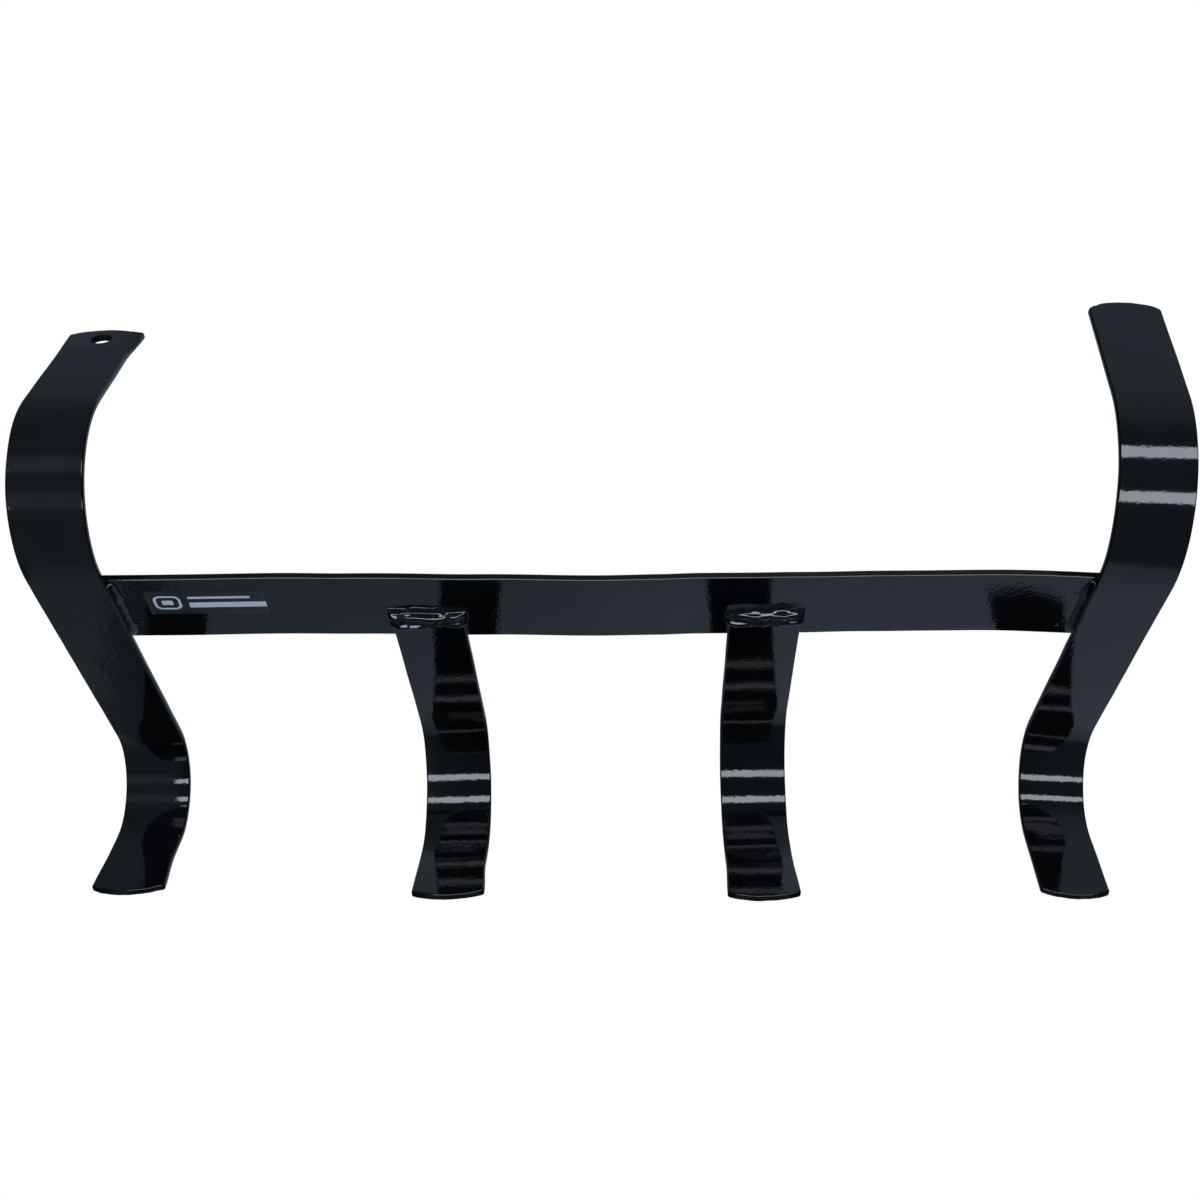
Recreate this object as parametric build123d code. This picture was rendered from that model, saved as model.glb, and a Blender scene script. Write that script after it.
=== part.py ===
from build123d import *
from collections import namedtuple
import math
import os

# Black steel tack rack that hangs over a stable partition. Millimetres, +Z up. X runs along the
# crossbar, and the four hooks open towards -Y. The origin is the centre of the crossbar's back
# face, which lies against the partition. Angles are in degrees.

# Flat bar that the arms and hooks are bent from. The overall width is across the upright legs.
overall_width = 450.0
strip_width = 30.0
strip_thickness = 3.0
end_bulge = 3.5  # how far a rounded strip end stands past its two corners

# Crossbar: its ends stop just inside the arms' outer edges. The welds drew its right end
# forwards: from bent_from outwards it turns by end_turn, and the right arm goes with it.
bar_length = 441.0
bar_depth = 40.0
bar_thickness = 3.0
bent_from = 165.0
end_turn = 3.2

# A bend of a strip's middle line: the height of its centre, its radius, how far it turns, and
# the straight that follows it, up to the end's corners. Top bends turn towards +Y and bottom
# bends towards -Y. The strips were bent by hand, so the two sides differ.
Bend = namedtuple("Bend", "height radius turn straight")
left_arm_top = Bend(height=24.5, radius=41.8, turn=112.4, straight=63.6)
left_arm_bottom = Bend(height=-100.2, radius=27.8, turn=119.0, straight=36.5)
right_arm_top = Bend(height=20.0, radius=49.3, turn=98.1, straight=54.2)
right_arm_bottom = Bend(height=-94.3, radius=30.4, turn=114.3, straight=36.0)
left_hook_bend = Bend(height=-87.7, radius=33.9, turn=124.7, straight=34.0)
right_hook_bend = Bend(height=-80.1, radius=37.4, turn=125.2, straight=30.3)

# The left arm leans about the Y line through its place at z = 0, its lower end to the right
left_arm_lean = -1.1

# Short hooks on the crossbar's front face. Each leans about the Y line through its place at
# lean_height, so that its lower end is a little to the right.
hook_overlap = 12.5  # how far a hook reaches up over the crossbar
lean_height = -40.0
left_hook_place = -69.6
left_hook_lean = -2.4
right_hook_place = 67.4
right_hook_lean = -1.4

# Hanging hole in the left arm's top leg, on the strip's centre line
hole_diameter = 9.4
hole_from_tip = 10.0

# Weld metal
bead_width = 33.0
bead_rise = 8.5  # how far a hook's bead climbs the crossbar above the hook's end
bead_lap = 1.2  # how far it runs down over the hook's front face
bead_stand = 4.6  # how far it stands out from the crossbar's front face
bead_crest = 3.0  # height of its fullest point above the hook's end
fillet_leg = 2.9
fillet_fullness = 0.58  # distance of a fillet's middle from each of the two faces, in legs
arm_weld_length = 35.0
end_weld_length = 36.0
root_weld_length = 24.0

# Printed label near the crossbar's left end
label_width = 48.0
label_height = 16.5
label_thickness = 0.2
label_corner = 1.0
label_place = -159.6
label_rise = 4.4  # how far its centre is above the crossbar's centre line

# Planes and lines that the pieces share, counted from the crossbar's back face at y = 0
bar_front = -bar_thickness
strip_middle = bar_front - strip_thickness / 2
strip_front = bar_front - strip_thickness
arm_place = (overall_width - strip_width) / 2
arm_inner_edge = arm_place - strip_width / 2
bar_end = bar_length / 2
hook_end = -bar_depth / 2 + hook_overlap


def heading(bend, up):
    """Direction of the straight after a bend, in the YZ plane. up is 1 for a top bend."""
    turn = math.radians(bend.turn)
    return Vector(0, up * math.sin(turn), up * math.cos(turn))


def bend_point(bend, up, offset, angle):
    """Point of a bend's face. offset is how far the face is in front of the middle line."""
    reach = bend.radius + up * offset
    turn = math.radians(angle)
    centre = Vector(0, strip_middle + up * bend.radius, bend.height)
    return centre + Vector(0, -up * reach * math.cos(turn), up * reach * math.sin(turn))


def straight_end(bend, up, offset=0.0, extra=0.0):
    """Point on a face at the end of a bend's straight, or extra beyond it."""
    start = bend_point(bend, up, offset, bend.turn)
    return start + heading(bend, up) * (bend.straight + extra)


def face_edges(bend, up, offset):
    """One face of a bend and its straight, from the upright leg out to the square end."""
    start, middle, end = (bend_point(bend, up, offset, bend.turn * part) for part in (0, 0.5, 1))
    tip = straight_end(bend, up, offset, end_bulge)
    return [ThreePointArc(start, middle, end), Line(end, tip)], start, tip


def strip_solid(top, bottom):
    """Bent strip. top is a Bend, or the height at which a straight upper end is cut square."""
    edges, top_corners, tip_corners = [], [], []
    for offset in (strip_thickness / 2, -strip_thickness / 2):
        lower, lower_start, tip = face_edges(bottom, -1, offset)
        if isinstance(top, Bend):
            upper, upper_start, top_corner = face_edges(top, 1, offset)
        else:
            upper = []
            upper_start = top_corner = Vector(0, strip_middle - offset, top)
        edges += [*upper, Line(upper_start, lower_start), *lower]
        top_corners.append(top_corner)
        tip_corners.append(tip)
    edges += [Line(*top_corners), Line(*tip_corners)]
    return extrude(make_face(Wire(edges)), strip_width / 2, dir=(1, 0, 0), both=True)


def rounded(strip, bend, up):
    """Cut the square end of a strip back to a shallow arc across its width."""
    arc_radius = (strip_width**2 / 4 + end_bulge**2) / (2 * end_bulge)
    across = Vector(1, 0, 0)
    place = Plane(straight_end(bend, up), x_dir=across, z_dir=across.cross(heading(bend, up)))
    waste = Pos(0, end_bulge) * Rectangle(2 * strip_width, 2 * end_bulge)
    waste -= Pos(0, end_bulge - arc_radius) * Circle(arc_radius)
    return strip - extrude(place * waste, strip_thickness, both=True)


def arm(top, bottom):
    """Arm strip with both its ends rounded, on the plane x = 0."""
    return rounded(rounded(strip_solid(top, bottom), top, 1), bottom, -1)


def hanging_hole(top):
    """Drill that makes the hole in an arm's top leg."""
    centre = straight_end(top, 1, extra=end_bulge - hole_from_tip)
    across = Vector(1, 0, 0)
    place = Plane(centre, x_dir=across, z_dir=across.cross(heading(top, 1)))
    return place * Cylinder(hole_diameter / 2, 2 * strip_thickness)


def leaned(shape, place, lean):
    """Move a piece made on x = 0 to its hook's place and lean it there."""
    return (Pos(place, 0, 0) * shape).rotate(Axis((place, 0, lean_height), (0, 1, 0)), lean)


def hook(bend, place, lean):
    """Short hook: its square upper end lies on the crossbar, and its tip is rounded."""
    return leaned(rounded(strip_solid(hook_end, bend), bend, -1), place, lean)


def hook_bead(place, lean):
    """Heavy weld bead over a hook's upper end and the crossbar above it."""
    on_bar = Vector(0, bar_front, hook_end + bead_rise)
    crest = Vector(0, bar_front - bead_stand, hook_end + bead_crest)
    on_hook = Vector(0, strip_front, hook_end - bead_lap)
    hook_corner = Vector(0, strip_front, hook_end)
    root = Vector(0, bar_front, hook_end)
    outline = [
        ThreePointArc(on_bar, crest, on_hook),
        Line(on_hook, hook_corner),
        Line(hook_corner, root),
        Line(root, on_bar),
    ]
    bead = extrude(make_face(Wire(outline)), bead_width / 2, dir=(1, 0, 0), both=True)
    return leaned(bead, place, lean)


def fillet_weld(corner, first, second, length):
    """Weld in a corner: two legs at right angles, a slightly full face, centred on its length."""
    corner, first, second = Vector(*corner), Vector(*first), Vector(*second)
    one, two = corner + first * fillet_leg, corner + second * fillet_leg
    face_middle = corner + (first + second) * fillet_leg * fillet_fullness
    outline = [Line(corner, one), ThreePointArc(one, face_middle, two), Line(two, corner)]
    return extrude(make_face(Wire(outline)), length / 2, dir=first.cross(second), both=True)


def left_leaned(shape):
    """Lean a piece with the left arm."""
    return shape.rotate(Axis((-arm_place, 0, 0), (0, 1, 0)), left_arm_lean)


def crossbar():
    """Crossbar, with its right end bent forwards."""
    turn = math.radians(end_turn)
    front_bend = Vector(bent_from, bar_front)
    back_bend = Vector(bent_from + bar_thickness * math.tan(turn / 2), 0)
    front_corner = front_bend + Vector(math.cos(turn), -math.sin(turn)) * (bar_end - bent_from)
    back_corner = front_corner + Vector(math.sin(turn), math.cos(turn)) * bar_thickness
    left_corners = [Vector(-bar_end, 0), Vector(-bar_end, bar_front)]
    corners = [*left_corners, front_bend, front_corner, back_corner, back_bend]
    edge = Wire(Polyline(*corners, close=True))
    return Pos(0, 0, -bar_depth / 2) * extrude(make_face(edge), bar_depth, dir=(0, 0, 1))


def turned_in(shape):
    """Turn a piece with the crossbar's right end."""
    return shape.rotate(Axis((bent_from, bar_front, 0), (0, 0, 1)), -end_turn)


def label():
    face = Plane.XZ * RectangleRounded(label_width, label_height, label_corner)
    return Pos(label_place, bar_front, label_rise) * extrude(face, label_thickness)


front, back, down, left, right = (0, -1, 0), (0, 1, 0), (0, 0, -1), (-1, 0, 0), (1, 0, 0)

nodes = {
    "left_arm": left_leaned(
        Pos(-arm_place, 0, 0) * (arm(left_arm_top, left_arm_bottom) - hanging_hole(left_arm_top))
    ),
    "right_arm": turned_in(Pos(arm_place, 0, 0) * arm(right_arm_top, right_arm_bottom)),
    "crossbar": crossbar(),
    "left_hook": hook(left_hook_bend, left_hook_place, left_hook_lean),
    "right_hook": hook(right_hook_bend, right_hook_place, right_hook_lean),
    "left_hook_bead": hook_bead(left_hook_place, left_hook_lean),
    "right_hook_bead": hook_bead(right_hook_place, right_hook_lean),
    "left_hook_root_weld": fillet_weld(
        (left_hook_place, bar_front, -bar_depth / 2), back, down, root_weld_length
    ),
    "right_hook_root_weld": fillet_weld(
        (right_hook_place, bar_front, -bar_depth / 2), back, down, root_weld_length
    ),
    "left_arm_weld": left_leaned(
        fillet_weld((-arm_inner_edge, bar_front, 0), front, right, arm_weld_length)
    ),
    "right_arm_weld": turned_in(
        fillet_weld((arm_inner_edge, bar_front, 0), front, left, arm_weld_length)
    ),
    "left_end_weld": fillet_weld((-bar_end, bar_front, 0), back, left, end_weld_length),
    "right_end_weld": turned_in(
        fillet_weld((bar_end, bar_front, 0), back, right, end_weld_length)
    ),
    "label": label(),
}

os.makedirs("parts", exist_ok=True)
for name, shape in nodes.items():
    export_step(shape, f"parts/{name}.step")
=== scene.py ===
import math
import random
from collections import namedtuple

import bmesh
import bpy
import numpy as np
from mathutils import Matrix, Vector, noise

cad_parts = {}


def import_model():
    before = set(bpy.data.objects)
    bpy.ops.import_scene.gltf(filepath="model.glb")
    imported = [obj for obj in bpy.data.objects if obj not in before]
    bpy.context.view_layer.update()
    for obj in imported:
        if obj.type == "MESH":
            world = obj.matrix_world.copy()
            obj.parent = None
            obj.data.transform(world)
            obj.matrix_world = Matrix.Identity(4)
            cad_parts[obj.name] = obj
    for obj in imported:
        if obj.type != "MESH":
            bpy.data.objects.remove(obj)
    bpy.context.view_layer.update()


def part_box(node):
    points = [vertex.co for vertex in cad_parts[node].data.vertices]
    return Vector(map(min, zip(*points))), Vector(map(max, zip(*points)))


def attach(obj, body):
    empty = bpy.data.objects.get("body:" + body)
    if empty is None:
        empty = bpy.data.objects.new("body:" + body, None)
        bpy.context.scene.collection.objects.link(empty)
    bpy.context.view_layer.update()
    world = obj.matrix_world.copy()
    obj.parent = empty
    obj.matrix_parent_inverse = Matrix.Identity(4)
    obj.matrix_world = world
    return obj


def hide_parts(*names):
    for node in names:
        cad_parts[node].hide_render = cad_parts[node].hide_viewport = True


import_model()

# Shapes are worked out in millimetres and turned into metres where a mesh is made. The frame is
# the CAD model's: X along the crossbar, -Y to the front, +Z up, and the crossbar's back at y = 0.
# Angles are in degrees. A ripple is smooth noise: its wavelength is the size of its features, and
# its seed picks one pattern. On a flat bar, s runs along it, u across it and v out of its front.
MM = 0.001

# ---------------------------------------------------------------- sizes that the CAD model has

OVERALL_WIDTH = 450.0  # across the upright legs of the two arms
STRIP_WIDTH = 30.0
STRIP_THICKNESS = 3.0
END_BULGE = 3.5  # how far a rounded strip end stands past its corners
BAR_THICKNESS = 3.0
BENT_FROM = 165.0  # the crossbar's right end turns forwards from here
END_TURN = 3.2
HOOK_OVERLAP = 12.5  # how far a hook reaches up over the crossbar
LEAN_HEIGHT = -40.0  # the hooks lean about this height
HOLE_DIAMETER = 9.4
HOLE_FROM_TIP = 10.0

# Height of a bend's centre, its radius, its turn, and the straight that follows it
Bend = namedtuple("Bend", "height radius turn straight")
LEFT_ARM_TOP = Bend(height=24.5, radius=41.8, turn=112.4, straight=63.6)
LEFT_ARM_BOTTOM = Bend(height=-100.2, radius=27.8, turn=119.0, straight=36.5)
RIGHT_ARM_TOP = Bend(height=20.0, radius=49.3, turn=98.1, straight=54.2)
RIGHT_ARM_BOTTOM = Bend(height=-94.3, radius=30.4, turn=114.3, straight=36.0)
LEFT_HOOK_BEND = Bend(height=-87.7, radius=33.9, turn=124.7, straight=34.0)
RIGHT_HOOK_BEND = Bend(height=-80.1, radius=37.4, turn=125.2, straight=30.3)
LEFT_ARM_LEAN = -1.1
LEFT_HOOK_LEAN = -2.4
RIGHT_HOOK_LEAN = -1.4

BEAD_RISE = 8.5
BEAD_STAND = 4.6
FILLET_LEG = 2.9
ROOT_WELD_LENGTH = 24.0
END_WELD_LENGTH = 36.0

bar_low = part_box("crossbar")[0] / MM
half_length = -bar_low.x
half_depth = -bar_low.z
half_width = STRIP_WIDTH / 2
bar_front = -BAR_THICKNESS
strip_middle = bar_front - STRIP_THICKNESS / 2
arm_place = OVERALL_WIDTH / 2 - half_width
hook_end = bar_low.z + HOOK_OVERLAP


def middle_of(node):
    """Centre of a CAD node's box."""
    low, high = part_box(node)
    return (low + high) / 2 / MM


left_hook_place = middle_of("left_hook_root_weld").x
right_hook_place = middle_of("right_hook_root_weld").x


def leaned(points, place, lean, pivot=LEAN_HEIGHT):
    """Move points made round x = 0 to their place and lean them about the pivot's height."""
    x, y, z = np.asarray(points).T
    tilt = math.radians(lean)
    height = z - pivot
    leaned_x = place + x * math.cos(tilt) + height * math.sin(tilt)
    leaned_z = pivot - x * math.sin(tilt) + height * math.cos(tilt)
    return np.stack([leaned_x, y, leaned_z], 1)


def turned_in(points):
    """Turn a piece with the crossbar's right end, about the line where that end is bent."""
    x, y, z = np.asarray(points).T
    turn = math.radians(END_TURN)
    past = x - BENT_FROM
    out = y - bar_front
    turned_x = BENT_FROM + past * math.cos(turn) + out * math.sin(turn)
    turned_y = bar_front - past * math.sin(turn) + out * math.cos(turn)
    return np.stack([turned_x, turned_y, z], 1)


# How each strip, and the weld on it, goes from x = 0 to its place
PLACED = {
    "left_arm": lambda points: leaned(points, -arm_place, LEFT_ARM_LEAN, 0),
    "right_arm": lambda points: turned_in(leaned(points, arm_place, 0, 0)),
    "left_hook": lambda points: leaned(points, left_hook_place, LEFT_HOOK_LEAN),
    "right_hook": lambda points: leaned(points, right_hook_place, RIGHT_HOOK_LEAN),
}

# ---------------------------------------------------------------- shader nodes


def add(tree, kind, **settings):
    """New node. Settings name either a property of the node or one of its inputs."""
    node = tree.nodes.new(kind)
    for key, value in settings.items():
        if key in node.inputs:
            node.inputs[key].default_value = value
        else:
            setattr(node, key, value)
    return node


def spread(tree, value, low, high, at_low, at_high, smooth=False):
    """Value carried from the range low to high over to the range at_low to at_high."""
    node = add(tree, "ShaderNodeMapRange")
    node.interpolation_type = "SMOOTHSTEP" if smooth else "LINEAR"
    node.inputs["From Min"].default_value = low
    node.inputs["From Max"].default_value = high
    node.inputs["To Min"].default_value = at_low
    node.inputs["To Max"].default_value = at_high
    tree.links.new(value, node.inputs["Value"])
    return node.outputs["Result"]


def computed(tree, operation, *values):
    """Result of a maths node on sockets and numbers."""
    node = add(tree, "ShaderNodeMath", operation=operation)
    for socket, value in zip(node.inputs, values):
        if isinstance(value, (int, float)):
            socket.default_value = value
        else:
            tree.links.new(value, socket)
    return node.outputs["Value"]


def mixed(tree, share, first, second):
    """First value where share is 0 and second where it is 1."""
    node = add(tree, "ShaderNodeMix", data_type="FLOAT")
    tree.links.new(share, node.inputs["Factor"])
    tree.links.new(first, node.inputs["A"])
    tree.links.new(second, node.inputs["B"])
    return node.outputs["Result"]


# ---------------------------------------------------------------- materials

PAINT_DARK = (0.0016, 0.0020, 0.0026)
PAINT_LIGHT = (0.0030, 0.0036, 0.0044)
PAINT_CLOUDS = 22.0  # size of the paint's faint clouds of colour
PAINT_SMEARS = 9.0  # size of its duller and glossier places
ORANGE_PEEL = [(5.0, 0.012), (2.2, 0.022), (1.3, 0.018)]  # sizes and depths of its bumps
FILM_MOTTLE = 1.4
FILM_BUMPS = (2.2, 0.006)


def new_material(name):
    """New material, with its node tree, its shader and the place that its noise goes by."""
    made = bpy.data.materials.new(name)
    made.use_nodes = True
    tree = made.node_tree
    place = add(tree, "ShaderNodeTexCoord").outputs["Object"]
    return made, tree, tree.nodes["Principled BSDF"], place


def noise_at(tree, place, wavelength, detail=2.0):
    """Noise whose features are about wavelength across."""
    texture = add(tree, "ShaderNodeTexNoise", Scale=1 / (wavelength * MM), Detail=detail)
    tree.links.new(place, texture.inputs["Vector"])
    return texture.outputs["Fac"]


def ranged(tree, value, low, high):
    """Noise, whose values lie mostly from 0.3 to 0.7, spread over low to high."""
    return spread(tree, value, 0.3, 0.7, low, high)


def two_colours(tree, value, dark, light):
    """Colour between dark and light."""
    node = add(tree, "ShaderNodeMix", data_type="RGBA")
    node.inputs["A"].default_value = (*dark, 1)
    node.inputs["B"].default_value = (*light, 1)
    tree.links.new(value, node.inputs["Factor"])
    return node.outputs["Result"]


def bumps(tree, shader, place, layers):
    """Stack of noise bumps on a shader, each a size and a depth."""
    normal = None
    for size, depth in layers:
        bump = add(tree, "ShaderNodeBump", Strength=1.0, Distance=depth * MM)
        tree.links.new(noise_at(tree, place, size), bump.inputs["Height"])
        if normal is not None:
            tree.links.new(normal, bump.inputs["Normal"])
        normal = bump.outputs["Normal"]
    tree.links.new(normal, shader.inputs["Normal"])


def paint(name, peel, roughness, ior):
    """Glossy black coating. Its orange peel is peel times as deep as on the flat bar."""
    made, tree, shader, place = new_material(name)
    cloud = ranged(tree, noise_at(tree, place, PAINT_CLOUDS), 0.0, 1.0)
    smear = ranged(tree, noise_at(tree, place, PAINT_SMEARS, 4.0), *roughness)
    colour = two_colours(tree, cloud, PAINT_DARK, PAINT_LIGHT)
    tree.links.new(colour, shader.inputs["Base Color"])
    tree.links.new(smear, shader.inputs["Roughness"])
    shader.inputs["IOR"].default_value = ior
    bumps(tree, shader, place, [(size, peel * depth) for size, depth in ORANGE_PEEL])
    return made


def film(name, dark, light, roughness):
    """Printed film: an even colour with a little mottling."""
    made, tree, shader, place = new_material(name)
    mottle = ranged(tree, noise_at(tree, place, FILM_MOTTLE, 5.0), 0, 1)
    tree.links.new(two_colours(tree, mottle, dark, light), shader.inputs["Base Color"])
    shader.inputs["Roughness"].default_value = roughness
    bumps(tree, shader, place, [FILM_BUMPS])
    return made


# A material, and the name of a slot for it
Finish = namedtuple("Finish", "material slot")

dark_film = film("label_film", (0.010, 0.012, 0.014), (0.016, 0.019, 0.022), 0.32)
pale_ink = film("label_ink", (0.62, 0.68, 0.74), (0.78, 0.84, 0.90), 0.45)
coated_steel = Finish(paint("coated_steel", 1.0, (0.04, 0.075), 1.5), "coated_steel")
coated_weld = Finish(paint("coated_weld", 0.5, (0.02, 0.05), 1.55), "coated_weld")
label_film = Finish(dark_film, "label_film")
label_ink = Finish(pale_ink, "label_film")

# ---------------------------------------------------------------- making pieces


def mesh_of(name, points, faces):
    """Mesh from points in millimetres, with its normals outwards."""
    mesh = bpy.data.meshes.new(name)
    mesh.from_pydata([tuple(p) for p in np.asarray(points) * MM], [], faces)
    shape = bmesh.new()
    shape.from_mesh(mesh)
    bmesh.ops.recalc_face_normals(shape, faces=shape.faces)
    shape.to_mesh(mesh)
    shape.free()
    return mesh


def shaded(mesh, sharp_from):
    """Shade a mesh smooth, except where it turns by more than sharp_from."""
    mesh.shade_smooth()
    mesh.set_sharp_from_angle(angle=math.radians(sharp_from))


def new_object(name, data):
    """Object in the scene."""
    thing = bpy.data.objects.new(name, data)
    bpy.context.scene.collection.objects.link(thing)
    return thing


def finished_piece(name, points, faces, finish, nodes, sharp_from=50.0):
    """Piece from points in millimetres, riding on the rack in place of CAD nodes."""
    mesh = mesh_of(name, points, faces)
    shaded(mesh, sharp_from)
    piece = new_object(name, mesh)
    mesh.materials.append(finish.material)
    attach(piece, "root")
    if nodes:
        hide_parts(*nodes)
    return piece


def ripple(x, y, z, wavelength, seed):
    """Smooth noise from -1 to 1 at a point, with features about wavelength across."""
    return noise.noise(Vector((x, y, z)) / wavelength + Vector((seed, seed * 1.7, seed * 0.6)))


def worn(a, b, wavelength, seed):
    """Noise from -1 to 0, for marks that only take metal away."""
    return np.array([ripple(p, q, 0, wavelength, seed) - 1 for p, q in zip(a, b)]) / 2


def smooth_step(share):
    """Share from 0 to 1, eased at both ends."""
    return share * share * (3 - 2 * share)


def tube_faces(rings, count):
    """Faces between neighbouring rings of count points."""
    faces = []
    for i in range(rings - 1):
        for j in range(count):
            k = (j + 1) % count
            faces.append((i * count + j, i * count + k, (i + 1) * count + k, (i + 1) * count + j))
    return faces


def closed_loft(loops):
    """Points and faces of a tube through equal loops of points, closed at both ends."""
    count = len(loops[0])
    last = (len(loops) - 1) * count
    faces = tube_faces(len(loops), count)
    faces += [tuple(range(count)), tuple(range(last, last + count))]
    return [p for loop in loops for p in loop], faces


# ---------------------------------------------------------------- flat bar

FACE_MARGIN = 0.2  # the first and last rows of a bar's face are this far from its corners
END_STEPS = 4  # rings that round off an end's edge
END_ROUND = 0.6  # radius of that edge
CUT_FADE = 12.0  # length over which an end's cut fades out along the bar


def rolled_corner(size):
    """Corner of a flat bar: how far it is in from the bar's edge and down from its face at each
    turn of the surface. The middle of the corner is almost flat, as on rolled bar."""
    turns = np.radians([0, 20, 36, 45, 49, 53, 57, 62, 75, 90])
    radii = np.array([0.5, 0.6, 2.0, 9.0, 9.0, 9.0, 3.0, 0.6, 0.5])
    steps = radii * np.diff(turns)
    middle = (turns[1:] + turns[:-1]) / 2
    along = np.concatenate([[0], np.cumsum(steps * np.cos(middle))])
    down = np.concatenate([[0], np.cumsum(steps * np.sin(middle))])
    scale = size / max(along[-1], down[-1])
    return (along - along[-1]) * scale, -down * scale


def rounded_ring(width, thickness, corner, spacing):
    """Section of a flat bar: (u, v) points round its middle, its front face first, and how many
    of them are on that face."""
    inward, downward = rolled_corner(corner)
    flat = width / 2 + inward[0]
    depth = thickness / 2
    rows = np.linspace(FACE_MARGIN - flat, flat - FACE_MARGIN, round(2 * flat / spacing))
    face = np.concatenate([[-flat], rows, [flat]])
    ring = [(u, depth) for u in face]
    ring += [(width / 2 + u, depth + v) for u, v in zip(inward[1:], downward[1:])]
    back_right = [(u, -v) for u, v in reversed(ring[len(face) :])]
    first_half = ring + back_right
    return first_half + [(-u, -v) for u, v in first_half], len(face)


def bar_mesh(length, width, thickness, corner, spacing, cut):
    """Flat bar along s with rounded edges: places (s, u, v) and faces. cut(u, end) is how far an
    end, -1 or 1, stands past its square corners at u."""
    section, face_count = rounded_ring(width, thickness, corner, spacing)

    def ring_at(s, end, share, shrink=0.0, past=0.0):
        """One ring, moved by its share of the end's cut and by past."""
        ring = []
        for u, v in section:
            u_in = math.copysign(max(abs(u) - shrink, 0), u)
            v_in = math.copysign(max(abs(v) - shrink, 0), v)
            ring.append((s + end * (share * cut(u_in, end) + past), u_in, v_in))
        return ring

    def end_rings(s, end):
        rings = []
        for k in range(END_STEPS + 1):
            turn = math.radians(90 * k / END_STEPS)
            shrink = END_ROUND * (1 - math.cos(turn))
            rings.append(ring_at(s, end, 1, shrink, END_ROUND * math.sin(turn) - END_ROUND))
        return rings

    rings = end_rings(0, -1)[::-1]
    for s in np.linspace(0, length, round(length / spacing) + 1)[1:-1]:
        end = -1 if s < length / 2 else 1
        gap = s if end < 0 else length - s
        rings.append(ring_at(s, end, max(0.0, 1 - gap / CUT_FADE)))
    rings += end_rings(length, 1)
    return np.array([p for ring in rings for p in ring]), bar_faces(rings, face_count)


def bar_faces(rings, face_count):
    """Faces of a flat bar. Its ends are closed by strips from the front face to the back one."""
    count = len(rings[0])
    half = count // 2
    faces = tube_faces(len(rings), count)
    for start in (0, (len(rings) - 1) * count):
        for j in range(face_count - 1):
            back = half + face_count - 1 - j
            faces.append((start + j, start + j + 1, start + back - 1, start + back))
        right = range(start + face_count - 1, start + half + 1)
        left = [*range(start + half + face_count - 1, start + count), start]
        faces += [tuple(right), tuple(left)]
    return faces


# ---------------------------------------------------------------- strips

UPPER, TIP = -1, 1  # a strip's two ends

# Notch in an end: its place across, its width and its depth
Notch = namedtuple("Notch", "end across width depth")

# End that was hammered wider: how far its left and right corners moved out
Flare = namedtuple("Flare", "end left right")

CORNER = 0.7  # size of a strip's rolled corners
SPACING = 1.2  # between the rows of a strip's mesh
CUT_SHORT = 0.4  # how far a hand-cut end stops short of the CAD's
EDGE_WEAR = 0.3  # most that a strip's edge is worn in
EDGE_WAVE = 17.0
EDGES_APART = 40.0  # the two edges take their wear from rows of noise this far off the middle
THINNED = 0.975  # a strip's greatest thickness, as a share of the CAD's
FACE_WEAR = 0.05  # share of its thickness that a flat bar's faces lose in the most worn places
FACE_WAVE = 15.0
EDGE_LIFT = 11.0  # square millimetres: how far a bend's edges lift, times its radius
FLARE_REACH = 24.0  # length over which a hammered end widens
TWIST_FADE = 45.0  # an upright leg's twist is gone where the strip has turned this far
HOLE_COATING = 0.3
HOLE_LIP = 1.3  # the hole's edges are broken from this far off the strip's middle
HOLE_CHAMFER = 2.7  # how far the drill's cones reach beyond that


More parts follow.
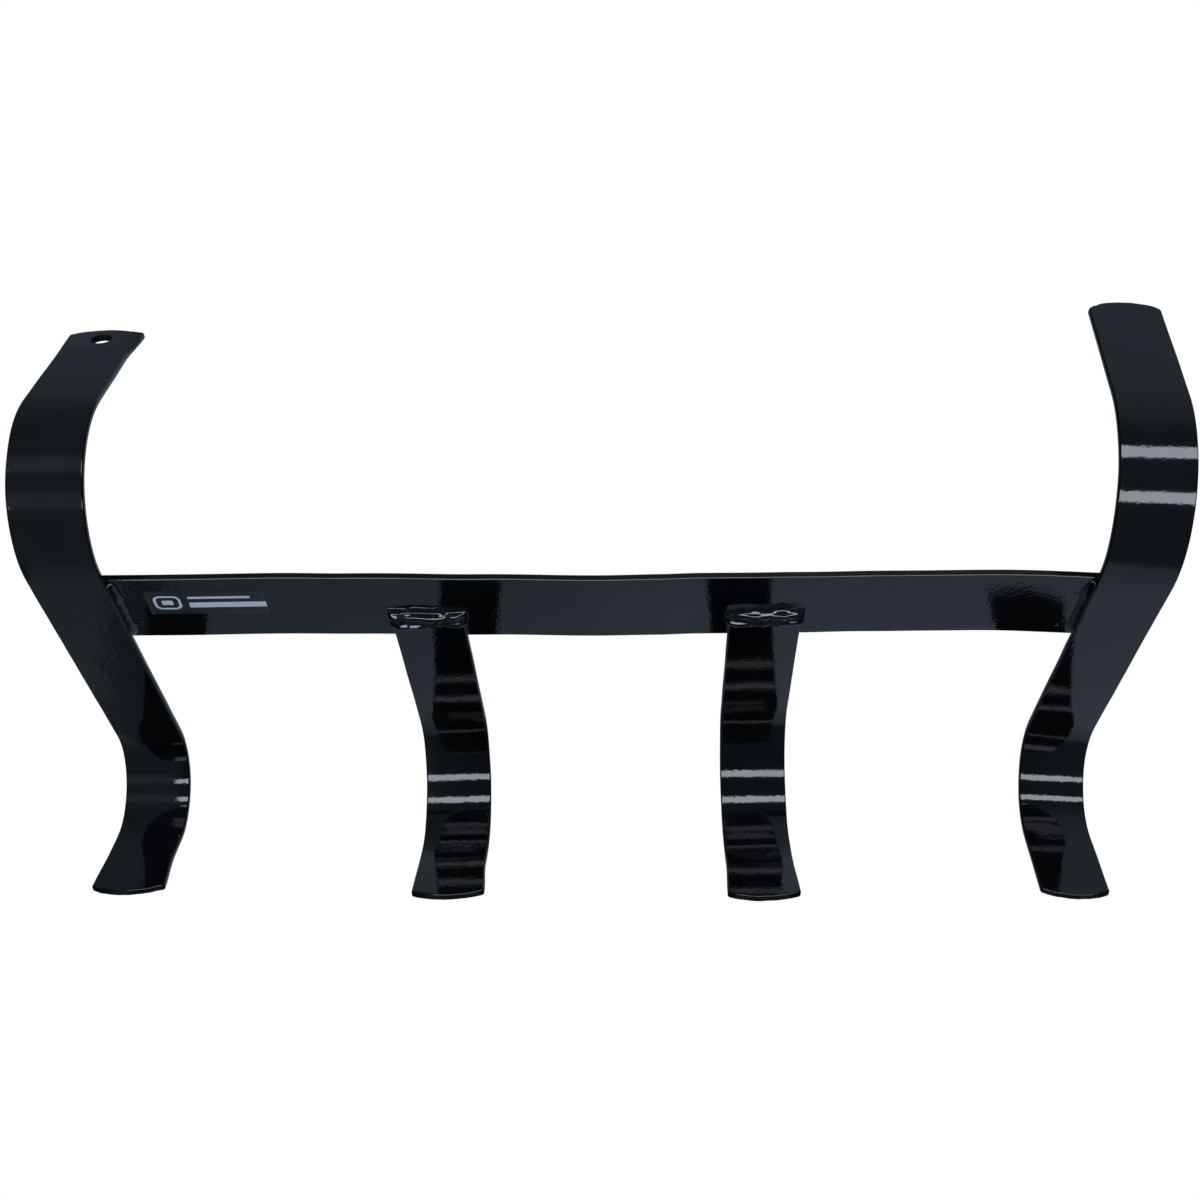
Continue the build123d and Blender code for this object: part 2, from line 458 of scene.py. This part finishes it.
class MiddleLine:
    """A bent strip's middle line in the YZ plane, followed from its upper end to its tip."""

    STEP = 0.2
    SPARE = 8.0  # the line goes on for this far past each end
    SOFTENING = 7.0  # a bend's curvature fades in and out over this length
    SWAY = 0.0003  # most that the line strays from its true curvature, in radians per millimetre
    SWAY_WAVE = 26.0

    def __init__(self, top, bottom, seed):
        """top is a Bend, or the height at which a straight upper end is cut square."""
        curved = isinstance(top, Bend)
        upright_top = top.height if curved else top
        upright = upright_top - bottom.height
        legs = [(upright, 0), (bottom.radius * math.radians(bottom.turn), bottom.turn)]
        legs.append((bottom.straight, 0))
        start_angle = 0.0
        if curved:
            upper_bend = top.radius * math.radians(top.turn)
            legs = [(top.straight, 0), (upper_bend, -top.turn)] + legs
            start_angle = top.turn
        self.length = sum(leg for leg, _ in legs)
        self.s = np.arange(-self.SPARE, self.length + self.SPARE, self.STEP)
        self.curvature = self.softened_curvature(legs)
        sway = [ripple(s, 0, 0, self.SWAY_WAVE, seed) * self.SWAY for s in self.s]
        angle = math.radians(start_angle) + np.cumsum(self.curvature + sway) * self.STEP

        # The middle of the upright leg stays upright and where the CAD has it
        middle_s = (top.straight + upper_bend if curved else 0.0) + upright / 2
        self.angle = angle - np.interp(middle_s, self.s, angle)
        y = np.cumsum(-np.sin(self.angle)) * self.STEP
        z = np.cumsum(-np.cos(self.angle)) * self.STEP
        self.y = y + strip_middle - np.interp(middle_s, self.s, y)
        self.z = z + (upright_top + bottom.height) / 2 - np.interp(middle_s, self.s, z)

    def softened_curvature(self, legs):
        """Curvature along the line, from each leg's length and turn."""
        curvature = np.zeros_like(self.s)
        begin = 0.0
        for leg, turn in legs:
            inside = (self.s >= begin) & (self.s < begin + leg)
            curvature[inside] = math.radians(turn) / leg
            begin += leg
        window = round(self.SOFTENING / self.STEP)
        return np.convolve(curvature, np.full(window, 1 / window), mode="same")

    def at(self, s):
        """Places on the line, how far it has turned from the upright, and its curvature."""
        rows = (self.y, self.z, self.angle, self.curvature)
        return (np.interp(s, self.s, row) for row in rows)


def round_end(u):
    """How far a strip's shallow round end stands past its corners."""
    radius = (half_width**2 + END_BULGE**2) / (2 * END_BULGE)
    return math.sqrt(radius**2 - u**2) - (radius - END_BULGE)


def end_cut(u, end, notches, seed):
    """How far a hand-cut end stands past its corners at u: round, a little ragged and notched."""
    ragged = 0.3 * ripple(u, 50 * end, 0, 3.5, seed) + 0.25 * ripple(u, 90 * end, 0, 9.0, seed)
    notch = sum(
        n.depth * math.exp(-(((u - n.across) / n.width) ** 2)) for n in notches if n.end == end
    )
    return round_end(u) + ragged - CUT_SHORT - notch


def flared(s, u, length, flares):
    """Places across a strip, spread where its ends were hammered wider."""
    for flare in flares:
        gap = s if flare.end == UPPER else length - s
        share = smooth_step(1 - np.clip(gap / FLARE_REACH, 0, 1))
        u = u * (1 + share * np.where(u < 0, flare.left, flare.right) / half_width)
    return u


def strip(node, top, bottom, seed, notches=(), flares=(), twist=0.0):
    """Arm or hook: a flat strip bent along its middle line, with small marks of hand work. twist
    is how far the upright leg is turned about its own length."""
    line = MiddleLine(top, bottom, seed)

    def cut(u, end):
        square = end == UPPER and not isinstance(top, Bend)
        return 0.0 if square else end_cut(u, end, notches, seed)

    places, faces = bar_mesh(line.length, STRIP_WIDTH, STRIP_THICKNESS, CORNER, SPACING, cut)
    s, u, v = places.T
    edge_wear = worn(s, np.sign(u) * EDGES_APART, EDGE_WAVE, seed)
    u = flared(s, u * (1 + EDGE_WEAR / half_width * edge_wear), line.length, flares)
    v = v * (THINNED + FACE_WEAR * worn(s + 3 * np.sign(v), u, FACE_WAVE, seed))
    y, z, angle, curvature = line.at(s)
    v = v + EDGE_LIFT * curvature * (1 - (u / half_width) ** 4)
    upright = smooth_step(1 - np.clip(np.abs(np.degrees(angle)) / TWIST_FADE, 0, 1))
    v = v - u * math.sin(math.radians(twist)) * upright
    bent = np.stack([u, y - v * np.cos(angle), z + v * np.sin(angle)], 1)
    return finished_piece(f"{node}_strip", PLACED[node](bent), faces, coated_steel, [node]), line


def drill_mesh(line):
    """Drill for the hanging hole, with a cone at each end that breaks the hole's edges."""
    y, z, angle, _ = (float(row) for row in line.at(HOLE_FROM_TIP - END_BULGE))
    radius = HOLE_DIAMETER / 2 - HOLE_COATING
    wide = radius + HOLE_CHAMFER
    far = HOLE_LIP + HOLE_CHAMFER
    loops = []
    for v, r in [(-far, wide), (-HOLE_LIP, radius), (HOLE_LIP, radius), (far, wide)]:
        loop = []
        for turn in np.arange(64) * math.tau / 64:
            along = r * math.sin(turn)
            drill_y = y - v * math.cos(angle) - along * math.sin(angle)
            drill_z = z + v * math.sin(angle) - along * math.cos(angle)
            loop.append((r * math.cos(turn), drill_y, drill_z))
        loops.append(PLACED["left_arm"](loop))
    return mesh_of("drill", *closed_loft(loops))


def drilled(piece, line):
    """Cut the hanging hole through the left arm's top leg."""
    tool = new_object("drill", drill_mesh(line))
    cut = piece.modifiers.new("hanging_hole", "BOOLEAN")
    cut.operation = "DIFFERENCE"
    cut.solver = "EXACT"
    cut.object = tool
    bpy.context.view_layer.update()
    evaluated = piece.evaluated_get(bpy.context.evaluated_depsgraph_get())
    mesh = bpy.data.meshes.new_from_object(evaluated)
    piece.modifiers.clear()
    piece.data = mesh
    shaded(mesh, 40)
    bpy.data.objects.remove(tool)


def strips():
    left_arm, left_line = strip(
        "left_arm",
        LEFT_ARM_TOP,
        LEFT_ARM_BOTTOM,
        seed=3.1,
        notches=[
            Notch(UPPER, across=-14.0, width=1.2, depth=0.5),
            Notch(UPPER, across=9.0, width=1.0, depth=0.3),
            Notch(TIP, across=12.0, width=1.5, depth=0.5),
        ],
        flares=[Flare(UPPER, left=0.3, right=1.9), Flare(TIP, left=0.6, right=1.6)],
        twist=0.2,
    )
    drilled(left_arm, left_line)

    # The right arm's back end was cut roughly: both of its corners are knocked off
    strip(
        "right_arm",
        RIGHT_ARM_TOP,
        RIGHT_ARM_BOTTOM,
        seed=7.4,
        notches=[
            Notch(UPPER, across=-15.0, width=2.2, depth=1.1),
            Notch(UPPER, across=-11.5, width=1.0, depth=0.5),
            Notch(UPPER, across=15.0, width=1.6, depth=0.8),
        ],
        twist=-1.3,
    )
    left_flare = Flare(TIP, left=0.3, right=1.3)
    right_flare = Flare(TIP, left=1.0, right=0.6)
    strip("left_hook", hook_end, LEFT_HOOK_BEND, seed=11.2, flares=[left_flare])
    strip("right_hook", hook_end, RIGHT_HOOK_BEND, seed=15.9, flares=[right_flare])


strips()

# ---------------------------------------------------------------- crossbar

BAR_CORNER = 0.55
BAR_SPACING = 1.5
BAR_FACE_WAVE = 18.0
BAR_EDGE_WAVE = 24.0
BAR_EDGE = 0.35  # the bar's edges stand 0.5 to 1.5 times this outside the CAD's
BEND_EASE = 12.0  # the bend at the crossbar's right end is spread over this far each way

# How far the welding pulled the crossbar towards the front, at places along it
BAR_BOW = [
    (-half_length, -0.4),
    (-190.0, -0.4),
    (-128.0, -0.9),
    (-100.0, -0.6),
    (-50.0, 0.3),
    (0.0, 1.2),
    (22.0, 0.9),
    (40.0, 0.45),
    (52.0, 0.4),
    (80.0, 0.3),
    (110.0, -0.1),
    (150.0, -0.2),
    (195.0, -0.2),
    (half_length, -0.2),
]


def eased(points, at):
    """Smooth curve through listed points, level at each of them."""
    for (x0, y0), (x1, y1) in zip(points, points[1:]):
        if at <= x1:
            return y0 + (y1 - y0) * smooth_step(max(0.0, (at - x0) / (x1 - x0)))
    return points[-1][1]


def bar_forward(x):
    """How far the crossbar's front face stands forward of the CAD's straight face at x."""
    share = min(max((x - BENT_FROM + BEND_EASE) / (2 * BEND_EASE), 0.0), 1.0)
    past_bend = BEND_EASE * share * share + max(0.0, x - BENT_FROM - BEND_EASE)
    return eased(BAR_BOW, x) + math.tan(math.radians(END_TURN)) * past_bend


def crossbar():
    """Crossbar: flat bar with rounded edges, pulled a little out of true by its welds."""
    size = (2 * half_length, 2 * half_depth, BAR_THICKNESS)
    places, faces = bar_mesh(*size, BAR_CORNER, BAR_SPACING, lambda u, end: 0.0)
    s, u, v = places.T
    x = s - half_length
    v = v * (1 + FACE_WEAR * worn(x + 3 * np.sign(v), u, BAR_FACE_WAVE, seed=21.0))
    edge_wear = worn(x, np.sign(u) * EDGES_APART, BAR_EDGE_WAVE, seed=23.0)
    z = u * (1 + BAR_EDGE / half_depth * (edge_wear + 1.5))
    y = -BAR_THICKNESS / 2 - v - np.array([bar_forward(a) for a in x])
    finished_piece("crossbar_flat", np.stack([x, y, z], 1), faces, coated_steel, ["crossbar"])


crossbar()

# ---------------------------------------------------------------- welds over the hooks' ends

# Section of a hook's weld: height above the hook's end, and how far it stands out from the
# crossbar. A thin first pass lies on the crossbar, and a heavier one covers the hook's end.
BEAD_SECTION = [
    (8.5, -0.4),
    (8.4, 0.1),
    (7.4, 0.5),
    (6.4, 0.9),
    (5.7, 1.25),
    (5.2, 2.0),
    (4.7, 2.8),
    (4.2, 3.4),
    (3.5, 3.75),
    (2.7, 3.85),
    (1.9, 4.0),
    (1.5, 4.35),
    (1.1, 4.8),
    (0.6, 5.1),
    (-0.1, 5.2),
    (-0.8, 5.0),
    (-1.2, 4.0),
    (-1.2, 2.9),
    (-1.2, 2.4),
]
BEAD_BACK = 0.4  # how far the weld's back is sunk into the crossbar
BEAD_HALF_WIDTH = 16.2
BEAD_LOOPS = 140
BEAD_PROUD = 0.8  # most that a lump stands out past the CAD's bead
FIRST_PASS = 5.0  # the thin first pass is above this height
SHOULDER = 4.4  # height of the step between the two passes
WELD_SHARP_FROM = 80.0


def softened(points, rounds=2):
    """Smooth open curve that keeps the two ends of a given one."""
    for _ in range(rounds):
        cut = [points[0]]
        for (a, b), (c, d) in zip(points, points[1:]):
            cut += [(0.75 * a + 0.25 * c, 0.75 * b + 0.25 * d)]
            cut += [(0.25 * a + 0.75 * c, 0.25 * b + 0.75 * d)]
        points = cut + [points[-1]]
    return points


def bead_loop(along, section, seed, taller):
    """One loop of a hook's weld, at its place across the hook."""
    full = 0.25 + 0.75 * (1 - abs(along / BEAD_HALF_WIDTH) ** 6) ** 0.5
    wave = ripple(along, 0, 0, 9.0, seed)
    chop = ripple(along, 0, 0, 3.4, seed + 2)
    edge = ripple(along, 0, 0, 6.0, seed + 11)
    loop = []
    for rise, stand in section:
        on_shoulder = math.exp(-(((rise - SHOULDER) / 1.6) ** 2))
        on_first_pass = max(0.0, (rise - FIRST_PASS) / (BEAD_RISE - FIRST_PASS))
        on_foot = max(0.0, 1 - rise / 2)
        lumpy = min(max((6.2 - rise) / 1.5, 0.0), 1.0)
        lump = 0.95 * ripple(along, rise * 1.3, 0, 4.6, seed + 5) + 0.4 * wave
        dimple = 0.16 * ripple(along, rise, 0, 2.4, seed + 8)
        up = rise + (0.9 * wave + 0.2 * chop) * on_shoulder
        up += (taller - 0.9 * (1 - edge)) * on_first_pass
        up += (0.25 if chop > 0 else 0.1) * chop * on_foot
        out = min((stand + lump * lumpy) * full + dimple * lumpy, BEAD_STAND + BEAD_PROUD)
        loop.append((along, bar_front - out, hook_end + min(up, BEAD_RISE + taller)))
    back = bar_front + BEAD_BACK
    return loop + [(along, back, hook_end - 0.8), (along, back, hook_end + 7.4)]


def hook_bead(hook, seed, taller=0.0):
    """Heavy weld over a hook's upper end, in the smooth lumps where the welder paused. Its thin
    first pass climbs the crossbar by taller more than the CAD's bead."""
    section = softened(BEAD_SECTION)
    places = np.linspace(-BEAD_HALF_WIDTH, BEAD_HALF_WIDTH, BEAD_LOOPS)
    loops = [PLACED[hook](bead_loop(along, section, seed, taller)) for along in places]
    points, faces = closed_loft(loops)
    nodes = [f"{hook}_bead"]
    finished_piece(
        f"{hook}_weld", points, faces, coated_weld, nodes, sharp_from=WELD_SHARP_FROM
    )


hook_bead("left_hook", seed=43.0)
hook_bead("right_hook", seed=37.0, taller=2.6)

# ---------------------------------------------------------------- fillet welds

ARM_FILLET_LENGTH = 36.5
FILLET_SPACING = 0.45
FILLET_STEPS = 14  # steps across a fillet's face
HOLLOW = 0.45  # how far a fillet's face is from flat, 0, towards a quarter circle, 1
SUNK = 0.3  # how far a fillet reaches into the metal that it joins
SPATTER_REACH = 5.0  # how far from a fillet its spatter lies
DROPS = 5


def droplet(centre, out, across, size, height):
    """Points and faces of a low round drop of spatter on a face."""
    rings, spokes = 4, 12
    up = out.cross(across)
    points = []
    for ring in range(rings):
        turn = math.radians(90 * ring / (rings - 0.5))
        for k in range(spokes):
            spoke = math.tau * k / spokes
            reach = (across * math.cos(spoke) + up * math.sin(spoke)) * size * math.cos(turn)
            points.append(centre + reach + out * height * (math.sin(turn) - 0.05))
    faces = tube_faces(rings, spokes)
    faces += [tuple(range(spokes)), tuple(range((rings - 1) * spokes, rings * spokes))]
    return points, faces


def fillet_loop(centre, first, second, at, end_taper, seed):
    """One loop of a fillet weld: its sunken back, and its hollow face from leg to leg."""
    one = FILLET_LEG * end_taper * (0.94 + 0.08 * ripple(at, 0, 0, 6.0, seed))
    uneven = 0.16 * ripple(at, 0, 0, 6.0, seed + 1) + 0.02 * ripple(at, 0, 0, 2.2, seed)
    two = one * (1 + uneven)
    loop = [centre - (first + second) * SUNK, centre + first * one - second * SUNK]
    for k in range(FILLET_STEPS + 1):
        share = k / FILLET_STEPS
        turn = math.radians(90 * share)
        lump = 0.02 * ripple(at, k * 0.3, 0, 5.0, seed + 3) * math.sin(2 * turn)
        out = (1 - share) * (1 - HOLLOW) + (1 - math.sin(turn)) * HOLLOW + lump
        over = share * (1 - HOLLOW) + (1 - math.cos(turn)) * HOLLOW + lump
        loop.append(centre + first * one * out + second * two * over)
    loop.append(centre + second * two - first * SUNK)
    return [tuple(p) for p in loop]


def fillet(name, node, corner, first, second, length, seed, drops=0, placed=np.asarray):
    """Fillet weld in a corner between two faces, uneven along its length, and its spatter on the
    face that second runs along. placed moves it from where it is made to its place."""
    corner, first, second = Vector(corner), Vector(first), Vector(second)
    along = first.cross(second)
    loops = []
    for t in np.linspace(-0.5, 0.5, round(length / FILLET_SPACING)):
        end_taper = 0.3 + 0.7 * (1 - abs(2 * t) ** 8) ** 0.5
        at = t * length
        loops.append(fillet_loop(corner + along * at, first, second, at, end_taper, seed))
    points, faces = closed_loft(loops)
    chance = random.Random(seed)
    for _ in range(drops):
        place = corner + along * chance.uniform(-0.46, 0.46) * length
        place += second * (FILLET_LEG + 0.4 + SPATTER_REACH * chance.random() ** 1.6)
        size = chance.uniform(0.35, 1.1)
        drop, drop_faces = droplet(place, first, second, size, size * 0.32)
        faces += [tuple(i + len(points) for i in face) for face in drop_faces]
        points += [tuple(p) for p in drop]
    finished_piece(
        name, placed(points), faces, coated_weld, [node], sharp_from=WELD_SHARP_FROM
    )


def fillets():
    front, back, down = (0, -1, 0), (0, 1, 0), (0, 0, -1)
    left, right = (-1, 0, 0), (1, 0, 0)
    for side, place in (("left", left_hook_place), ("right", right_hook_place)):
        fillet(
            f"{side}_root_fillet",
            f"{side}_hook_root_weld",
            (place, bar_front, bar_low.z),
            back,
            down,
            ROOT_WELD_LENGTH,
            seed=place,
        )
    for side, sign, inward, outward in (("left", -1, right, left), ("right", 1, left, right)):
        fillet(
            f"{side}_arm_fillet",
            f"{side}_arm_weld",
            (-sign * half_width, bar_front, 0),
            front,
            inward,
            ARM_FILLET_LENGTH,
            seed=4 * sign,
            drops=DROPS,
            placed=PLACED[f"{side}_arm"],
        )
        fillet(
            f"{side}_end_fillet",
            f"{side}_end_weld",
            (sign * half_length, bar_front, 0),
            back,
            outward,
            END_WELD_LENGTH,
            seed=6 * sign,
            placed=turned_in if side == "right" else np.asarray,
        )


fillets()

# ---------------------------------------------------------------- label

LABEL_CORNER = 1.0
LABEL_RIM = 0.35  # width of the film's sloping edge
FILM_SUNK = 0.3  # how far the film's back is sunk into the crossbar
FILM_EDGE = 0.03  # height of the film's outer edge
FILM_TOP = 0.16
INK_BASE = 0.1
INK_LIFT = 0.02
PER_CORNER = 7  # points on a corner of an outline
PER_SIDE = 24  # steps along a side of one
FILL_RINGS = 12


def on_bar(points, centre, lift):
    """Label points (across, up) placed on the crossbar's front face, which isn't quite flat."""
    placed = []
    for across, up in points:
        x = centre.x + across
        placed.append((x, bar_front - lift - bar_forward(x), centre.z + up))
    return placed


def rounded_outline(width, height, corner, middle=(0.0, 0.0)):
    """Closed outline of a rectangle with round corners, as (across, up) points."""
    arcs = []
    for quarter, (right, up) in enumerate([(1, 1), (-1, 1), (-1, -1), (1, -1)]):
        centre = np.array([right * (width / 2 - corner), up * (height / 2 - corner)]) + middle
        turns = np.radians(90 * quarter + np.linspace(0, 90, PER_CORNER))
        arcs.append(centre + corner * np.stack([np.cos(turns), np.sin(turns)], 1))
    outline = []
    for arc, following in zip(arcs, arcs[1:] + arcs[:1]):
        side = np.linspace(arc[-1], following[0], PER_SIDE + 1)
        outline += [*arc, *side[1:-1]]
    return [tuple(point) for point in outline]


def filled(outline, middle):
    """Points and faces that fill an outline, in rings that shrink towards its middle."""
    rings = []
    for ring in range(FILL_RINGS):
        share = 1 - ring / (FILL_RINGS - 0.5)
        rings.append(np.array(middle) + (np.array(outline) - middle) * share)
    count = len(outline)
    faces = tube_faces(FILL_RINGS, count)
    faces.append(tuple(range((FILL_RINGS - 1) * count, FILL_RINGS * count)))
    return np.concatenate(rings), faces


def raised_band(outer, inner, centre, base, top):
    """Closed band on the crossbar between two equal outlines, from base up to top."""
    rings = [(outer, base), (outer, top), (inner, top), (inner, base)]
    points = [p for outline, lift in rings for p in on_bar(outline, centre, lift)]
    faces = tube_faces(len(rings) + 1, len(outer))
    return points, [tuple(i % len(points) for i in face) for face in faces]


def raised_sheet(walls, outline, middle, centre, top):
    """Closed sheet on the crossbar: its walls are outlines with their heights, from its back to
    its edge, and its front fills an outline at the height top."""
    sheet, sheet_faces = filled(outline, middle)
    count = len(outline)
    points = [p for wall, lift in walls for p in on_bar(wall, centre, lift)]
    faces = [tuple(range(count)), *tube_faces(len(walls) + 1, count)]
    faces += [tuple(i + len(points) for i in face) for face in sheet_faces]
    return points + on_bar(sheet, centre, top), faces


def label():
    """Dark film with a plain outlined shape and two plain bars printed on it."""
    low, high = (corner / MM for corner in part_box("label"))
    centre = (low + high) / 2
    width, height = high.x - low.x, high.z - low.z
    rim = rounded_outline(width - 0.05, height - 0.05, LABEL_CORNER)
    flat = rounded_outline(width - 2 * LABEL_RIM, height - 2 * LABEL_RIM, LABEL_CORNER * 0.7)
    walls = [(rim, -FILM_SUNK), (rim, FILM_EDGE)]
    points, faces = raised_sheet(walls, flat, (0, 0), centre, FILM_TOP)
    finished_piece("label_film", points, faces, label_film, ["label"])

    ink_top = FILM_TOP + INK_LIFT
    mark = (-15.6, 0.1)
    outer = rounded_outline(11.0, 9.4, 3.0, mark)
    inner = rounded_outline(8.8, 7.2, 2.0, mark)
    points, faces = raised_band(outer, inner, centre, INK_BASE, ink_top)
    finished_piece("label_mark_ring", points, faces, label_ink, [])
    sheets = [
        ("label_mark_core", 4.6, 3.0, 0.6, mark),
        ("label_bar_upper", 25.0, 1.5, 0.3, (5.5, 3.4)),
        ("label_bar_lower", 31.0, 3.6, 0.4, (8.4, -1.7)),
    ]
    for name, wide, tall, corner, middle in sheets:
        outline = rounded_outline(wide, tall, corner, middle)
        walls = [(outline, INK_BASE)]
        points, faces = raised_sheet(walls, outline, middle, centre, ink_top)
        finished_piece(name, points, faces, label_ink, [])


label()

# ---------------------------------------------------------------- backdrop and lights, in metres

DOME_RADIUS = 12.0
FLOOR_RADIUS = 11.0
FLOOR_HEIGHT = -1.2
TUBE_COLOUR = (0.88, 0.96, 1.06)
TUBE_RADIANCE = 7.0


def backdrop_mesh(name, shape_maker, **settings):
    shape = bmesh.new()
    shape_maker(shape, **settings)
    mesh = bpy.data.meshes.new(name)
    shape.to_mesh(mesh)
    shape.free()
    return mesh


def studio_white():
    """Even white that gives its own light."""
    made = bpy.data.materials.new("studio_white")
    made.use_nodes = True
    tree = made.node_tree
    tree.nodes.clear()
    glow = add(tree, "ShaderNodeEmission", Strength=1.0)
    glow.inputs["Color"].default_value = (1, 1, 1, 1)
    out = add(tree, "ShaderNodeOutputMaterial")
    tree.links.new(glow.outputs["Emission"], out.inputs["Surface"])
    return made


def backdrop():
    """Floor and dome that only the camera sees, as an even white ground."""
    dome = backdrop_mesh(
        "studio_dome", bmesh.ops.create_icosphere, subdivisions=4, radius=DOME_RADIUS
    )
    floor = backdrop_mesh(
        "studio_floor",
        bmesh.ops.create_circle,
        cap_ends=True,
        segments=96,
        radius=FLOOR_RADIUS,
    )
    white = studio_white()
    for mesh, height in ((dome, 0.0), (floor, FLOOR_HEIGHT)):
        thing = new_object(mesh.name, mesh)
        thing.location.z = height
        mesh.materials.append(white)
        thing.visible_glossy = False
        thing.visible_diffuse = False
        thing.visible_shadow = False


def tube(name, y, z, low_x, high_x, width):
    """Long straight light along X at y, z, facing the rack's middle."""
    length = high_x - low_x
    light = bpy.data.lights.new(name, "AREA")
    light.shape = "RECTANGLE"
    light.size = length
    light.size_y = width
    light.energy = TUBE_RADIANCE * math.pi * length * width
    light.color = TUBE_COLOUR
    lamp = new_object(name, light)
    lamp.location = ((low_x + high_x) / 2, y, z)
    lamp.rotation_euler = (math.atan2(-y, z), 0, 0)
    lamp.visible_camera = False


# ---------------------------------------------------------------- world

WORLD_COLOUR = (0.73, 0.91, 1.13, 1)
TUBE_HEIGHTS = (44.6, 84.3)  # where the two tubes are seen from the rack, above the horizon


def studio_light(tree):
    """Strength of the studio's light by direction. side is the direction's X, so it is negative
    to the left. height is its angle round X: 0 at the front, 90 overhead and 180 behind."""
    place = add(tree, "ShaderNodeTexCoord").outputs["Generated"]
    parts = add(tree, "ShaderNodeSeparateXYZ")
    tree.links.new(place, parts.inputs["Vector"])
    side = parts.outputs["X"]
    forward = computed(tree, "MULTIPLY", parts.outputs["Y"], -1.0)
    radians = computed(tree, "ARCTAN2", parts.outputs["Z"], forward)
    height = computed(tree, "MULTIPLY", radians, 180 / math.pi)

    # The floor is lighter to the right, and has a narrow dark gap on the left
    floor = spread(tree, side, -0.35, 0.12, 0.21, 0.41)
    gap_left = spread(tree, side, -0.309, -0.301, 0.0, 1.0, True)
    gap_right = spread(tree, side, -0.268, -0.258, 0.62, 0.0, True)
    gap = computed(tree, "MULTIPLY", gap_left, gap_right)
    floor = computed(tree, "MULTIPLY", floor, computed(tree, "SUBTRACT", 1.0, gap))

    # The dark space above it is lighter on the far left, where the tubes' ends glow softly
    far_left = spread(tree, side, -0.30, -0.10, 0.18, 0.085, True)
    far_right = spread(tree, side, 0.10, 0.32, 0.0, 0.05, True)
    above = computed(tree, "ADD", far_left, far_right)
    tube_ends = spread(tree, side, -0.32, -0.22, 1.0, 0.0, True)
    for centre in TUBE_HEIGHTS:
        away = computed(tree, "ABSOLUTE", computed(tree, "SUBTRACT", height, centre))
        halo = spread(tree, away, 2.0, 15.0, 0.24, 0.0, True)
        above = computed(tree, "ADD", above, computed(tree, "MULTIPLY", tube_ends, halo))

    # Behind the rack a soft light is brighter on the right, and both far sides are dark
    behind = spread(tree, side, -0.12, 0.15, 0.15, 0.31, True)
    light = mixed(tree, spread(tree, height, -32.0, -21.0, 0.0, 1.0, True), floor, above)
    light = mixed(tree, spread(tree, height, 98.0, 126.0, 0.0, 1.0, True), light, behind)
    sideways = computed(tree, "ABSOLUTE", side)
    return computed(
        tree, "MULTIPLY", light, spread(tree, sideways, 0.44, 0.62, 1.0, 0.14, True)
    )


def world():
    """Studio round the rack, which its gloss coat reflects."""
    room = bpy.data.worlds.new("studio_room")
    room.use_nodes = True
    tree = room.node_tree
    ground = tree.nodes["Background"]
    tree.links.new(studio_light(tree), ground.inputs["Strength"])
    ground.inputs["Color"].default_value = WORLD_COLOUR
    bpy.context.scene.world = room


# ---------------------------------------------------------------- camera, in metres

CAMERA_AZIMUTH = 0.47
CAMERA_ELEVATION = 55.93
CAMERA_DISTANCE = 0.6082
CAMERA_LEFT = 0.0009  # how far it is moved off the line to the crossbar's middle
CAMERA_UP = 0.0040


def camera():
    """Camera in front of the rack and well above it."""
    azimuth = math.radians(CAMERA_AZIMUTH)
    elevation = math.radians(CAMERA_ELEVATION)
    level = Vector((math.sin(azimuth), math.cos(azimuth), 0))
    view = level * math.cos(elevation) - Vector((0, 0, math.sin(elevation)))
    across = Vector((math.cos(azimuth), -math.sin(azimuth), 0))
    up = across.cross(view)
    target = Vector((0, strip_middle * MM, 0))
    eye = target - view * CAMERA_DISTANCE - across * CAMERA_LEFT + up * CAMERA_UP
    lens = bpy.data.cameras.new("studio_camera")
    lens.lens = 45
    lens.sensor_width = 36
    thing = new_object("studio_camera", lens)
    turned = Matrix((across, up, -view)).transposed().to_4x4()
    thing.matrix_world = Matrix.Translation(eye) @ turned
    bpy.context.scene.camera = thing


backdrop()
tube("tube_low", y=-0.5715, z=0.558, low_x=-0.435, high_x=0.75, width=0.138)
tube("tube_high", y=-0.0785, z=0.716, low_x=-0.412, high_x=0.75, width=0.125)
world()
camera()
bpy.context.scene.view_settings.view_transform = "Standard"
